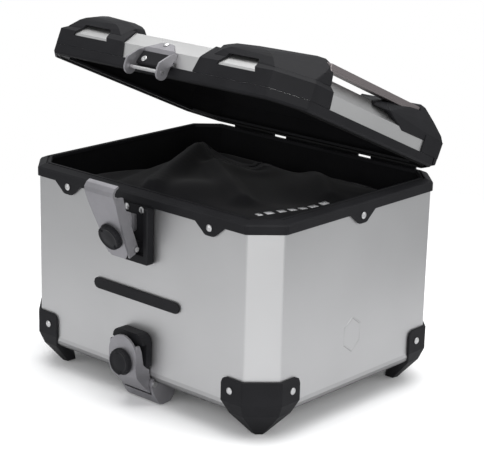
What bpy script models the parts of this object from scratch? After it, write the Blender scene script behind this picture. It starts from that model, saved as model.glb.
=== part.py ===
"""Aluminium motorcycle top case with a hinged lid, a lever latch and a mount lock.

Metres, +Z up.  The latch side faces -Y and the hinges are on +Y.  The case stands on its four
corner feet at Z = 0.  Every moving piece is laid out closed, and its parent empty, which sits on
the joint axis, turns it to the rest pose: lid held open, latch lever swung out.
"""

import math

import bmesh
import bpy
from mathutils import Vector

GAP = 0.0003  # clearance between touching pieces
DEG = math.pi / 180.0

# Tub
TUB_HALF_X = 0.2000
TUB_HALF_Y = 0.16325
TUB_CHAMFER = 0.0303
BEND_RADIUS = 0.0040
FLOOR_Z = 0.0280
EDGE_RADIUS = 0.0180
TUB_TOP_Z = 0.2580
SHEET = 0.0015
EDGE_STEPS = 5
BEND_STEPS = 2

# Rim
RIM_PROUD = 0.0027
RIM_LOW_Z = 0.2476
RIM_TOP_Z = 0.2625
SKIRT_LOW_Z = 0.2345
TAB_Z = 0.2437
TAB_LOW_Z = 0.2343
TAB_X = 0.1167

# Corner protectors
PROTECTOR_PROUD = 0.0033
EAR_LOW_Z = 0.0460
EAR_TOP_Z = 0.0750
EAR_FRONT_X = 0.1385
EAR_SIDE_Y = 0.1023
EAR_DEPTH = 0.0080
FOOT_PAD = ((0.1560, 0.1190), (0.1680, 0.1190), (0.1695, 0.1270), (0.1635, 0.1330), (0.1560, 0.1315))
PROTECTOR_RIVET_Z = 0.0604
PROTECTOR_RIVET_BACK = 0.0471

# Lid, laid out closed
LID_Z = 0.2612
LID_HALF_X = 0.2040
LID_HALF_Y = 0.1620
LID_CHAMFER = 0.0340
LID_RECESS = 0.0018
BAND_TOP = 0.0122
LID_BEND = 0.0293
LID_TOP = 0.0455
BEVEL_IN = 0.0162
RAIL_LOW = 0.0530
RAIL_TOP = 0.0622
RAIL_INNER_X = 0.1800
RAIL_OUTER_X = 0.1945
RAIL_LIP = 0.0018
RAIL_FRONT_Y = -0.0970
RAIL_REAR_Y = 0.0860
HINGE_Y = 0.1660
HINGE_Z = 0.2760
HINGE_RADIUS = 0.0034
HINGE_FOOT_Y = 0.1663
LID_OPEN = 23.9 * DEG

# Strap eye through a front cap and the catch pin: outwards and up from the lid's lower edge
STRAP_EYE = (
    (0.0885, 0.1700, 0.0262), (0.1455, 0.1700, 0.0262), (0.0920, 0.1700, 0.0345), (0.1420, 0.1700, 0.0345),
    (0.0885, 0.1300, 0.0262), (0.1455, 0.1300, 0.0262), (0.1000, 0.1300, 0.0533), (0.1340, 0.1300, 0.0533),
)
CATCH_PIN = (0.0155, 0.0020)

# Front latch, laid out closed
PIVOT_Y = -0.1830
PIVOT_Z = 0.2000
LEVER_OPEN = 21.0 * DEG
KNOB_RADIUS = 0.0165
LATCH_KNOB_UP = 0.0230

# Mount lock at the lower front edge
LOCK_PIVOT_Y = -0.1600
LOCK_PIVOT_Z = 0.0300
LOCK_KNOB_Z = 0.0590
LOCK_FACE_Y = -0.1870

HINGES = {"left": (-0.116, 0.035), "centre": (0.0, 0.060), "right": (0.116, 0.035)}


def clear_scene():
    for obj in list(bpy.data.objects):
        bpy.data.objects.remove(obj, do_unlink=True)


def make_material(name, colour, metallic, roughness):
    """One Principled material; every sub-part gets its own."""
    mat = bpy.data.materials.new(name)
    mat.use_nodes = True
    shader = mat.node_tree.nodes["Principled BSDF"]
    shader.inputs["Base Color"].default_value = (*colour, 1.0)
    shader.inputs["Metallic"].default_value = metallic
    shader.inputs["Roughness"].default_value = roughness
    mat.diffuse_color = (*colour, 1.0)
    return mat


FINISH = {
    "alu": ((0.62, 0.62, 0.61), 1.0, 0.42),
    "plastic": ((0.030, 0.030, 0.032), 0.0, 0.50),
    "cast": ((0.42, 0.42, 0.43), 1.0, 0.38),
    "rivet": ((0.75, 0.75, 0.74), 1.0, 0.25),
    "rail": ((0.40, 0.37, 0.35), 1.0, 0.45),
    "rubber": ((0.020, 0.020, 0.020), 0.0, 0.70),
    "fabric": ((0.018, 0.018, 0.020), 0.0, 0.85),
}


def add_node(name, mesh_data, finish, axis=None, smooth=None):
    """Turn a bmesh into a named object; with an axis empty it is stored about that axis."""
    if axis is not None:
        shift = Vector(axis["closed_at"])
        for vert in mesh_data.verts:
            vert.co -= shift
    bmesh.ops.recalc_face_normals(mesh_data, faces=mesh_data.faces[:])
    mesh = bpy.data.meshes.new(name)
    mesh_data.to_mesh(mesh)
    mesh_data.free()
    obj = bpy.data.objects.new(name, mesh)
    bpy.context.scene.collection.objects.link(obj)
    if axis is not None:
        obj.parent = axis
    mesh.materials.append(make_material(name + "_mat", *FINISH[finish]))
    if smooth is not None:
        mesh.shade_smooth()
        mesh.set_sharp_from_angle(angle=smooth * DEG)
    return obj


def add_axis(name, at, turn, parent=None):
    """Empty on a joint axis that runs along X; turn is the rest angle about +X."""
    empty = bpy.data.objects.new(name, None)
    bpy.context.scene.collection.objects.link(empty)
    empty["closed_at"] = at
    local = Vector(at)
    if parent is not None:
        empty.parent = parent
        local = local - Vector(parent["closed_at"])
    empty.location = local
    empty.rotation_euler = (turn, 0.0, 0.0)
    return empty


def hide(obj):
    obj.hide_render = True
    obj.display_type = "WIRE"
    return obj


def boolean(obj, other, operation="DIFFERENCE"):
    modifier = obj.modifiers.new(operation.title(), "BOOLEAN")
    modifier.operation = operation
    modifier.solver = "EXACT"
    modifier.object = hide(other)
    modifier.show_render = modifier.show_viewport
    return obj


def bevel(obj, width, segments=1, angle=35.0):
    modifier = obj.modifiers.new("Bevel", "BEVEL")
    modifier.width = width
    modifier.segments = segments
    modifier.limit_method = "ANGLE"
    modifier.angle_limit = angle * DEG
    modifier.show_render = modifier.show_viewport
    return obj


def outline(half_x, half_y, chamfer, offset):
    """Chamfered rectangle moved outwards by offset, its eight bends rounded."""
    leg = chamfer + offset * (2.0 - math.sqrt(2.0))
    x, y = half_x + offset, half_y + offset
    corners = [
        (x - leg, -y), (x, -y + leg), (x, y - leg), (x - leg, y),
        (-x + leg, y), (-x, y - leg), (-x, -y + leg), (-x + leg, -y),
    ]
    radius = max(BEND_RADIUS + offset, 0.0010)
    points = []
    for i, corner in enumerate(corners):
        here = Vector(corner)
        back = (Vector(corners[i - 1]) - here).normalized()
        ahead = (Vector(corners[(i + 1) % 8]) - here).normalized()
        centre = here + (back + ahead).normalized() * radius / math.cos(22.5 * DEG)
        first = math.atan2(*reversed(here - centre)) - 22.5 * DEG
        for k in range(BEND_STEPS + 1):
            turn = first + 45.0 * DEG * k / BEND_STEPS
            points.append(centre + Vector((math.cos(turn), math.sin(turn))) * radius)
    return points


def tub_ring(offset, z):
    return [Vector((p.x, p.y, z)) for p in outline(TUB_HALF_X, TUB_HALF_Y, TUB_CHAMFER, offset)]


def lid_ring(inset, up):
    loop = outline(LID_HALF_X, LID_HALF_Y, LID_CHAMFER, -inset)
    return [Vector((p.x, p.y, LID_Z + up)) for p in loop]


def skin(rings, closed):
    """Solid from a stack of loops: a torus when closed, or else capped at both ends."""
    bm = bmesh.new()
    loops = [[bm.verts.new(point) for point in ring] for ring in rings]
    pairs = list(zip(loops, loops[1:]))
    if closed:
        pairs.append((loops[-1], loops[0]))
    for low, high in pairs:
        for i in range(len(low)):
            j = (i + 1) % len(low)
            bm.faces.new((low[i], low[j], high[j], high[i]))
    if not closed:
        bm.faces.new(list(reversed(loops[0])))
        bm.faces.new(loops[-1])
    return bm


def hull(points, bm=None):
    bm = bm or bmesh.new()
    verts = [bm.verts.new(point) for point in points]
    made = bmesh.ops.convex_hull(bm, input=verts)
    bmesh.ops.delete(bm, geom=[v for v in verts if not v.link_faces], context="VERTS")
    flat = [edge for edge in made["geom"] if isinstance(edge, bmesh.types.BMEdge)]
    flat = [edge for edge in flat if edge.is_valid]
    bmesh.ops.dissolve_limit(bm, angle_limit=0.5 * DEG, verts=bm.verts[:], edges=flat)
    return bm


def box(low, high):
    xs, ys, zs = zip(low, high)
    return hull([Vector((x, y, z)) for x in xs for y in ys for z in zs])


def plate_x(profile, x0, x1):
    """Polygon in the YZ plane, drawn out from x0 to x1."""
    bm = bmesh.new()
    ends = [[bm.verts.new((x, y, z)) for y, z in profile] for x in (x0, x1)]
    count = len(profile)
    for i in range(count):
        j = (i + 1) % count
        bm.faces.new((ends[0][i], ends[0][j], ends[1][j], ends[1][i]))
    bm.faces.new(list(reversed(ends[0])))
    bm.faces.new(ends[1])
    return bm


def plate_y(profile, y0, y1):
    """Polygon in the XZ plane, drawn out from y0 to y1."""
    bm = plate_x([(x, z) for x, z in profile], y0, y1)
    for vert in bm.verts:
        vert.co = Vector((vert.co.y, vert.co.x, vert.co.z))
    return bm


def arc(centre, radius, start, end, steps):
    turns = [start + (end - start) * k / steps for k in range(steps + 1)]
    return [
        (centre[0] + radius * math.cos(t * DEG), centre[1] + radius * math.sin(t * DEG))
        for t in turns
    ]


def lathe(at, along, stations, segments=20):
    """Round solid about an axis: stations are (distance along it, radius)."""
    axis = Vector(along).normalized()
    side = axis.orthogonal().normalized()
    other = axis.cross(side)
    rings = []
    for distance, radius in stations:
        middle = Vector(at) + axis * distance
        ring = []
        for k in range(segments):
            turn = 2.0 * math.pi * k / segments
            ring.append(middle + (side * math.cos(turn) + other * math.sin(turn)) * radius)
        rings.append(ring)
    return skin(rings, False)


def rivet(name, at, outwards, radius=0.0042, axis=None):
    """Domed rivet head that stands a clearance off its surface."""
    stations = [(GAP, radius), (0.0009, radius), (0.0017, radius * 0.72), (0.0021, radius * 0.30)]
    return add_node(name, lathe(at, outwards, stations, 14), "rivet", axis, 40)


def tub_envelope(name, extra):
    """Outside of the tub grown by extra, to trim pieces that lie against it."""
    rings = [tub_ring(extra - EDGE_RADIUS, FLOOR_Z - extra)]
    for k in range(1, EDGE_STEPS + 1):
        turn = 90.0 * DEG * k / EDGE_STEPS
        out = extra - EDGE_RADIUS + EDGE_RADIUS * math.sin(turn)
        rings.append(tub_ring(out, FLOOR_Z - extra + EDGE_RADIUS * (1.0 - math.cos(turn))))
    rings.append(tub_ring(extra, TUB_TOP_Z + 0.02))
    bm = skin(rings, False)
    return hide(add_node(name, bm, "plastic"))


def build_tub():
    rings = []
    for k in range(EDGE_STEPS + 1):
        turn = 90.0 * DEG * k / EDGE_STEPS
        rings.append(
            tub_ring(EDGE_RADIUS * (math.sin(turn) - 1.0), FLOOR_Z + EDGE_RADIUS * (1.0 - math.cos(turn)))
        )
    rings.append(tub_ring(0.0, TUB_TOP_Z))
    rings.append(tub_ring(-SHEET, TUB_TOP_Z))
    inner = EDGE_RADIUS - SHEET
    for k in range(EDGE_STEPS, -1, -1):
        turn = 90.0 * DEG * k / EDGE_STEPS
        rings.append(
            tub_ring(inner * math.sin(turn) - EDGE_RADIUS, FLOOR_Z + EDGE_RADIUS - inner * math.cos(turn))
        )
    return add_node("tub_shell", skin(rings, False), "alu", smooth=40)


def tab_profile(centre):
    """Rounded tab that hangs from the rim and takes one rivet."""
    half, drop = 0.0225, TAB_LOW_Z
    side = [(centre - half, RIM_LOW_Z + 0.004), (centre - half, RIM_LOW_Z)]
    low = arc((centre - 0.0040, drop + 0.0080), 0.0080, 215.0, 270.0, 3)
    high = arc((centre + 0.0040, drop + 0.0080), 0.0080, 270.0, 325.0, 3)
    return side + low + high + [(centre + half, RIM_LOW_Z), (centre + half, RIM_LOW_Z + 0.004)]


def build_rim():
    top = RIM_TOP_Z
    profile = [
        (GAP, RIM_LOW_Z), (RIM_PROUD, RIM_LOW_Z), (RIM_PROUD, top - 0.0055),
        (0.0010, top - 0.0036), (-0.0030, top - 0.0020), (-0.0062, top - 0.0006),
        (-0.0074, top - 0.0004), (-0.0080, top - 0.0018), (-0.0095, top - 0.0018),
        (-0.0101, top), (-0.0125, top), (-0.0133, top - 0.0012), (-0.0133, top - 0.0040),
        (-0.0040, top - 0.0040), (-0.0040, SKIRT_LOW_Z), (-0.0018, SKIRT_LOW_Z),
        (-0.0018, TUB_TOP_Z + GAP), (GAP, TUB_TOP_Z + GAP),
    ]
    rim = add_node("rim_frame", skin([tub_ring(o, z) for o, z in profile], True), "plastic", smooth=40)
    front = TUB_HALF_Y + GAP
    side = TUB_HALF_X + GAP
    proud = RIM_PROUD - GAP - 0.00005
    for label, centre in (("a", -TAB_X), ("b", TAB_X)):
        for where, sign in (("front", -1.0), ("rear", 1.0)):
            bm = plate_y(tab_profile(centre), sign * front, sign * (front + proud))
            boolean(rim, add_node("rim_tab_" + where + label, bm, "plastic"), "UNION")
    for where, sign in (("left", -1.0), ("right", 1.0)):
        bm = plate_x(tab_profile(0.0), sign * side, sign * (side + proud))
        boolean(rim, add_node("rim_tab_" + where, bm, "plastic"), "UNION")
    for where, (x, y) in rivet_places().items():
        half_x, half_y = (0.0115, 0.004) if abs(x) < 0.19 else (0.004, 0.0115)
        in_x, in_y = x * 0.986 if abs(x) > 0.19 else x, y * 0.983 if abs(x) < 0.19 else y
        bm = box((in_x - half_x, in_y - half_y, 0.2300), (in_x + half_x, in_y + half_y, 0.2460))
        boolean(rim, add_node("skirt_notch_" + where, bm, "plastic"))
    for where, (x, y) in rivet_places().items():
        outwards = (0.0, math.copysign(1.0, y), 0.0) if abs(x) < 0.19 else (math.copysign(1.0, x), 0.0, 0.0)
        at = (x, y + outwards[1] * RIM_PROUD, TAB_Z) if abs(x) < 0.19 else (x + outwards[0] * RIM_PROUD, y, TAB_Z)
        rivet("rim_rivet_" + where, at, outwards)


def rivet_places():
    return {
        "front_left": (-TAB_X, -TUB_HALF_Y),
        "front_right": (TAB_X, -TUB_HALF_Y),
        "right": (TUB_HALF_X, 0.0),
        "rear_right": (TAB_X, TUB_HALF_Y),
        "rear_left": (-TAB_X, TUB_HALF_Y),
        "left": (-TUB_HALF_X, 0.0),
    }


def build_corner(label, sx, sy, envelope):
    """Protector with two riveted ears and a foot that slopes in under the tub."""
    out = PROTECTOR_PROUD
    x, y = TUB_HALF_X + out, TUB_HALF_Y + out
    leg = TUB_CHAMFER + out * (2.0 - math.sqrt(2.0))
    points = [(x - leg, y, EAR_TOP_Z), (x, y - leg, EAR_TOP_Z), (x - leg, y, EAR_LOW_Z), (x, y - leg, EAR_LOW_Z)]
    for along, z in ((0.0, EAR_LOW_Z), (0.0, 0.0670), (0.0023, 0.0727), (0.0080, EAR_TOP_Z)):
        for depth in (0.0, EAR_DEPTH):
            points.append((EAR_FRONT_X + along, y - depth, z))
            points.append((x - depth, EAR_SIDE_Y + along, z))
    turn_in = (EDGE_RADIUS + out) * math.sqrt(0.5)
    low_x, low_y = TUB_HALF_X - EDGE_RADIUS + turn_in, TUB_HALF_Y - EDGE_RADIUS + turn_in
    low_leg = TUB_CHAMFER + (turn_in - EDGE_RADIUS) * (2.0 - math.sqrt(2.0))
    for px, py in ((0.1460, low_y), (low_x - low_leg, low_y), (low_x, low_y - low_leg), (low_x, 0.1100)):
        points.append((px, py, FLOOR_Z + EDGE_RADIUS - turn_in))
    for px, py in FOOT_PAD:
        points.append((px, py, 0.0))
    bm = hull([Vector((sx * px, sy * py, pz)) for px, py, pz in points])
    corner = add_node("corner_protector_" + label, bm, "plastic", smooth=30)
    bevel(corner, 0.0008)
    boolean(corner, envelope)
    at_x = sx * (TUB_HALF_X - PROTECTOR_RIVET_BACK)
    at_y = sy * (TUB_HALF_Y - PROTECTOR_RIVET_BACK)
    rivet("protector_rivet_" + label + "_y", (at_x, sy * y, PROTECTOR_RIVET_Z), (0.0, sy, 0.0))
    rivet("protector_rivet_" + label + "_x", (sx * x, at_y, PROTECTOR_RIVET_Z), (sx, 0.0, 0.0))


def build_name_strip():
    half, high, middle = 0.0709, 0.0068, 0.1358
    right = arc((half - high, middle), high, -90.0, 90.0, 6)
    left = arc((high - half, middle), high, 90.0, 270.0, 6)
    face = -TUB_HALF_Y - GAP
    strip = add_node("name_strip", plate_y(right + left, face - 0.0028, face), "plastic", smooth=30)
    bevel(strip, 0.0007)


def build_latch():
    """Base channel, tongue, pivot pin, swinging lever and its locking knob."""
    face = -TUB_HALF_Y - GAP
    front = -0.1750
    outer = [(-0.0277, 0.1800), (0.0277, 0.1800), (0.0277, 0.2470), (-0.0277, 0.2470)]
    base = add_node("latch_base", plate_y(outer, front, face), "plastic", smooth=30)
    bevel(base, 0.0012)
    channel = add_node("latch_channel", box((-0.0217, -0.20, 0.1900), (0.0217, -0.1680, 0.26)), "plastic")
    boolean(base, channel)
    lug = plate_x(
        arc((PIVOT_Y, PIVOT_Z), 0.0052, 90.0, 270.0, 8)
        + [(-0.1670, PIVOT_Z - 0.0052), (-0.1670, PIVOT_Z + 0.0052)],
        -0.0110, 0.0110,
    )
    boolean(base, add_node("latch_lug", lug, "plastic"), "UNION")
    bore = lathe((-0.03, PIVOT_Y, PIVOT_Z), (1.0, 0.0, 0.0), [(0.0, 0.0024), (0.06, 0.0024)], 16)
    boolean(base, add_node("latch_bore", bore, "plastic"))
    pin = [(0.0, 0.0030), (0.0012, 0.0030), (0.0012, 0.0020), (0.0388, 0.0020), (0.0388, 0.0030), (0.04, 0.0030)]
    add_node("latch_pivot_pin", lathe((-0.0200, PIVOT_Y, PIVOT_Z), (1.0, 0.0, 0.0), pin, 16), "rivet", smooth=40)
    for label, x in (("left", -0.0120), ("right", 0.0120)):
        rivet("latch_base_rivet_" + label, (x, -0.1680, 0.2425), (0.0, -1.0, 0.0), 0.0040)
    tongue = arc((0.0, 0.2190), 0.0040, 180.0, 360.0, 6) + [(0.0040, 0.2360), (-0.0040, 0.2360)]
    add_node("latch_tongue", plate_y(tongue, -0.1720, -0.1680 - GAP), "cast", smooth=30)

    axis = add_axis("latch_lever_axis", (0.0, PIVOT_Y, PIVOT_Z), LEVER_OPEN)
    plate_t, outer_t = 0.0026, 0.0136
    shape = [
        (-0.0110, -0.0065), (0.0110, -0.0065), (0.0180, 0.0020), (0.0180, 0.0260), (0.0212, 0.0480),
        (0.0235, 0.0660), (0.0235, 0.1000), (-0.0235, 0.1000), (-0.0235, 0.0660), (-0.0212, 0.0480),
        (-0.0180, 0.0260), (-0.0180, 0.0020),
    ]
    lean = [
        (outer_t, -0.0065), (outer_t, 0.0800), (0.0118, 0.0850), (0.0070, 0.0882), (0.0015, 0.0886),
        (0.0015, 0.0862), (0.0058, 0.0856), (0.0095, 0.0830), (outer_t - plate_t, 0.0785),
        (outer_t - plate_t, -0.0065),
    ]
    body = plate_x([(PIVOT_Y - t, PIVOT_Z + w) for t, w in lean], -0.0300, 0.0300)
    lever = add_node("latch_lever", body, "cast", axis, 30)
    mask = plate_y([(x, PIVOT_Z + w) for x, w in shape], PIVOT_Y - 0.03, PIVOT_Y + 0.02)
    boolean(lever, add_node("lever_mask", mask, "cast", axis), "INTERSECT")
    wing = [
        (0.0120, -0.0050), (0.0030, -0.0050), (-0.0040, 0.0000), (-0.0040, 0.0060), (-0.0035, 0.0300),
        (-0.0062, 0.0400), (-0.0062, 0.0480), (0.0000, 0.0540), (0.0000, 0.0720), (0.0120, 0.0780),
    ]
    for label, sign in (("left", -1.0), ("right", 1.0)):
        inner = plate_x([(PIVOT_Y - t, PIVOT_Z + w) for t, w in wing], 0.0, 0.0024)
        for vert in inner.verts:
            up = vert.co.z - PIVOT_Z
            reach = 0.0180 + 0.0055 * min(max((up - 0.0260) / 0.0400, 0.0), 1.0)
            vert.co.x = sign * (reach - vert.co.x)
        boolean(lever, add_node("lever_wing_" + label, inner, "cast", axis), "UNION")
    hole = lathe((-0.03, PIVOT_Y, PIVOT_Z), (1.0, 0.0, 0.0), [(0.0, 0.0024), (0.06, 0.0024)], 16)
    boolean(lever, add_node("lever_bore", hole, "cast", axis))
    knob_at = (0.0, PIVOT_Y - outer_t - GAP, PIVOT_Z + LATCH_KNOB_UP)
    knob_axis = add_axis("latch_knob_axis", knob_at, 0.0, axis)
    build_knob("latch_knob", knob_at, knob_axis)


def build_knob(name, at, axis):
    """Round locking knob with a raised finger bar and scalloped edge."""
    knob = add_node(
        name,
        lathe(at, (0.0, -1.0, 0.0), [(0.0, KNOB_RADIUS), (0.0045, KNOB_RADIUS), (0.0062, KNOB_RADIUS - 0.0020)], 32),
        "plastic", axis, 35,
    )
    bar = plate_y(
        arc((at[0] + 0.0075, at[2]), 0.0050, -90.0, 90.0, 6) + arc((at[0] - 0.0075, at[2]), 0.0050, 90.0, 270.0, 6),
        at[1] - 0.0080, at[1] - 0.0030,
    )
    boolean(knob, add_node(name + "_bar", bar, "plastic", axis), "UNION")


def build_mount_lock(envelope):
    """Housing, lever, knob, pin and the claw that hooks under the tub."""
    face = -TUB_HALF_Y - GAP
    top = arc((0.0145, 0.0832), 0.0110, 0.0, 90.0, 4) + arc((-0.0145, 0.0832), 0.0110, 90.0, 180.0, 4)
    hood = plate_y(top + [(-0.0255, 0.0540), (0.0255, 0.0540)], -0.1718, face)
    housing = add_node("mount_lock_housing", hood, "plastic", smooth=30)
    brow = plate_y(top + [(-0.0255, 0.0822), (0.0255, 0.0822)], -0.1780, -0.1700)
    boolean(housing, add_node("mount_lock_brow", brow, "plastic"), "UNION")
    bevel(housing, 0.0008)

    axis = add_axis("mount_lock_axis", (0.0, LOCK_PIVOT_Y, LOCK_PIVOT_Z), 0.0)
    outer = [
        (LOCK_FACE_Y, 0.0980), (LOCK_FACE_Y, 0.0520), (-0.1845, 0.0420), (-0.1770, 0.0325),
        (-0.1625, 0.0178), (-0.1607, 0.0198), (-0.1750, 0.0345), (-0.1820, 0.0435),
        (-0.1842, 0.0525), (-0.1842, 0.0980),
    ]
    lever = add_node("mount_lock_lever", plate_x(outer, -0.0300, 0.0300), "cast", axis, 30)
    shape = arc((0.0, 0.0690), 0.0225, 0.0, 180.0, 12) + [(-0.0225, 0.0100), (0.0225, 0.0100)]
    mask = plate_y(shape, -0.2000, -0.1400)
    boolean(lever, add_node("mount_lever_mask", mask, "cast", axis), "INTERSECT")
    wing = [
        (-0.1850, 0.0820), (-0.1805, 0.0820), (-0.1772, 0.0740), (-0.1742, 0.0570), (-0.1700, 0.0520),
        (-0.1650, 0.0490), (-0.1640, 0.0430), (-0.1628, 0.0380), (-0.1600, 0.0333), (-0.1572, 0.0316),
        (-0.1566, 0.0284), (-0.1615, 0.0190), (-0.1770, 0.0335), (-0.1840, 0.0430), (-0.1855, 0.0520),
    ]
    for label, low, high in (("left", -0.0225, -0.0200), ("right", 0.0200, 0.0225)):
        boolean(lever, add_node("mount_wing_" + label, plate_x(wing, low, high), "cast", axis), "UNION")
    along = (1.0, 0.0, 0.0)
    hole = lathe((-0.04, LOCK_PIVOT_Y, LOCK_PIVOT_Z), along, [(0.0, 0.0026), (0.08, 0.0026)], 16)
    boolean(lever, add_node("mount_lever_bore", hole, "cast", axis))
    knob_at = (0.0, LOCK_FACE_Y - GAP, LOCK_KNOB_Z)
    build_knob("mount_lock_knob", knob_at, add_axis("mount_knob_axis", knob_at, 0.0, axis))

    cheek = [
        (-0.1590, 0.0385), (-0.1640, 0.0350), (-0.1650, 0.0280), (-0.1600, 0.0150), (-0.1510, 0.0020),
        (-0.1460, 0.0006), (-0.1330, 0.0015), (-0.1265, 0.0085), (-0.1250, 0.0180), (-0.1250, 0.0300),
        (-0.1450, 0.0330),
    ]
    claw = add_node("mount_claw", plate_x(cheek, -0.0272, 0.0272), "cast", smooth=30)
    throat = arc((LOCK_PIVOT_Y, LOCK_PIVOT_Z), 0.0165, -70.0, 110.0, 10)
    room = plate_x([(-0.1900, 0.0460)] + [(-0.1900, 0.0145)] + throat, -0.0230, 0.0230)
    boolean(claw, add_node("mount_claw_room", room, "cast"))
    boolean(claw, envelope)
    bore = lathe((-0.04, LOCK_PIVOT_Y, LOCK_PIVOT_Z), along, [(0.0, 0.0026), (0.08, 0.0026)], 16)
    boolean(claw, add_node("mount_claw_bore", bore, "cast"))
    pin = [(0.0, 0.0036), (0.0012, 0.0036), (0.0012, 0.0022), (0.0558, 0.0022), (0.0558, 0.0036), (0.0570, 0.0036)]
    pin_mesh = lathe((-0.0285, LOCK_PIVOT_Y, LOCK_PIVOT_Z), along, pin, 16)
    add_node("mount_lock_pin", pin_mesh, "rivet", smooth=40)


def build_hinge(label, middle, half, lid_axis):
    """Two outer knuckles on the tub, one between them on the lid, and a pin."""
    radius = HINGE_RADIUS
    third = half / 2.0
    foot, back = HINGE_FOOT_Y, HINGE_Y + radius
    low = [(foot, 0.2482), (back, 0.2482)] + arc((HINGE_Y, HINGE_Z), radius, 0.0, 180.0, 8)
    low += [(HINGE_Y - 0.0026, HINGE_Z - 0.0028), (foot, HINGE_Z - 0.0058)]
    body = add_node("hinge_body_" + label, plate_x(low, middle - half, middle + half), "plastic", smooth=30)
    slot = box((middle - third, 0.1600, HINGE_Z - 0.0060), (middle + third, 0.1800, 0.2900))
    boolean(body, add_node("hinge_slot_" + label, slot, "plastic"))
    flap = LID_HALF_Y + GAP
    web = arc((HINGE_Y, HINGE_Z), radius, -90.0, 90.0, 8)
    web += [(flap, HINGE_Z + radius), (flap, 0.2640), (flap + 0.0015, 0.2640), (flap + 0.0015, 0.2715)]
    inner = third - 0.0005
    leaf = add_node(
        "hinge_leaf_" + label, plate_x(web, middle - inner, middle + inner), "plastic", lid_axis, 30
    )
    reach = half + 0.01
    hole = [(0.0, 0.0018), (2.0 * reach, 0.0018)]
    start = (middle - reach, HINGE_Y, HINGE_Z)
    along = (1.0, 0.0, 0.0)
    boolean(body, add_node("hinge_bore_" + label, lathe(start, along, hole, 12), "plastic"))
    boolean(leaf, add_node("leaf_bore_" + label, lathe(start, along, hole, 12), "plastic", lid_axis))
    ends = [(0.0, 0.0028), (0.0010, 0.0028), (0.0010, 0.0014)]
    ends += [(2.0 * half + 0.0016, 0.0014), (2.0 * half + 0.0016, 0.0028), (2.0 * half + 0.0026, 0.0028)]
    pin = lathe((middle - half - 0.0013, HINGE_Y, HINGE_Z), along, ends, 12)
    add_node("hinge_pin_" + label, pin, "rivet", smooth=40)


def build_lid(axis):
    band = [
        (0.0028, 0.0000), (0.0015, 0.0005), (0.0000, 0.0030), (0.0000, BAND_TOP),
        (LID_RECESS - GAP, BAND_TOP), (LID_RECESS - GAP, 0.0050), (0.0195, 0.0050),
        (0.0195, 0.0020), (0.0038, 0.0020), (0.0038, 0.0006),
    ]
    add_node("lid_band", skin([lid_ring(o, z) for o, z in band], True), "plastic", axis, 40)

    seal_low, seal_top = LID_Z - 0.0001, LID_Z + 0.0020 - GAP
    seal = [(-0.0082, seal_low), (-0.0082, seal_top), (-0.0093, seal_top), (-0.0093, seal_low)]
    add_node("lid_seal", skin([tub_ring(o, z) for o, z in seal], True), "rubber", axis, 40)

    inset = LID_RECESS + BEVEL_IN
    inside = 0.0012
    shell = [
        (LID_RECESS, 0.0053), (LID_RECESS, LID_BEND), (inset, LID_TOP),
    ]
    lining = [
        (LID_RECESS + SHEET, 0.0053), (LID_RECESS + SHEET, LID_BEND - 0.0007),
        (inset + 0.0007, LID_TOP - SHEET),
    ]
    rings = [lid_ring(o, z) for o, z in reversed(shell)] + [lid_ring(o, z) for o, z in lining]
    add_node("lid_shell", skin(rings, False), "alu", axis, 25)

    start = LID_RECESS + SHEET + 0.0005
    outside = [(start, 0.0056), (start, LID_BEND - 0.0012), (inset + 0.0010, LID_TOP - SHEET - 0.0006)]
    within = [
        (start + inside, 0.0056), (start + inside, LID_BEND - 0.0018),
        (inset + 0.0015, LID_TOP - SHEET - 0.0006 - inside),
    ]
    rings = [lid_ring(o, z) for o, z in reversed(outside)] + [lid_ring(o, z) for o, z in within]
    add_node("lid_lining", skin(rings, False), "fabric", axis, 25)


def lid_cutter(name, axis, extra):
    """Outside of the lid's sheet and band grown by extra, to trim the corner caps."""
    inset = LID_RECESS + BEVEL_IN
    rings = [
        (LID_RECESS - extra, 0.0), (LID_RECESS - extra, LID_BEND + 0.4 * extra),
        (inset - 0.4 * extra, LID_TOP + extra),
    ]
    return hide(add_node(name, skin([lid_ring(o, z) for o, z in rings], False), "alu", axis))


def build_rail(label, sx, axis):
    """Side rail: a flat bar with a small sloping lip along its lower outer edge."""
    low, high = LID_Z + RAIL_LOW, LID_Z + RAIL_TOP
    lip, face = low + RAIL_LIP, RAIL_OUTER_X - RAIL_LIP
    corners = [
        (RAIL_INNER_X, low), (RAIL_OUTER_X, low), (RAIL_OUTER_X, lip), (face, lip + RAIL_LIP),
        (face, high), (RAIL_INNER_X, high),
    ]
    bm = plate_y([(sx * x, z) for x, z in corners], RAIL_FRONT_Y, RAIL_REAR_Y)
    rail = add_node("rail_" + label, bm, "rail", axis, 30)
    bevel(rail, 0.0005)


def rail_cutter(name, sx, axis):
    low, high = LID_Z + RAIL_LOW - GAP, LID_Z + RAIL_TOP + GAP
    inner, outer = sorted((sx * (RAIL_INNER_X - GAP), sx * (RAIL_OUTER_X + GAP)))
    bm = box((inner, RAIL_FRONT_Y - GAP, low), (outer, RAIL_REAR_Y + GAP, high))
    return add_node(name, bm, "rail", axis)


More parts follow.
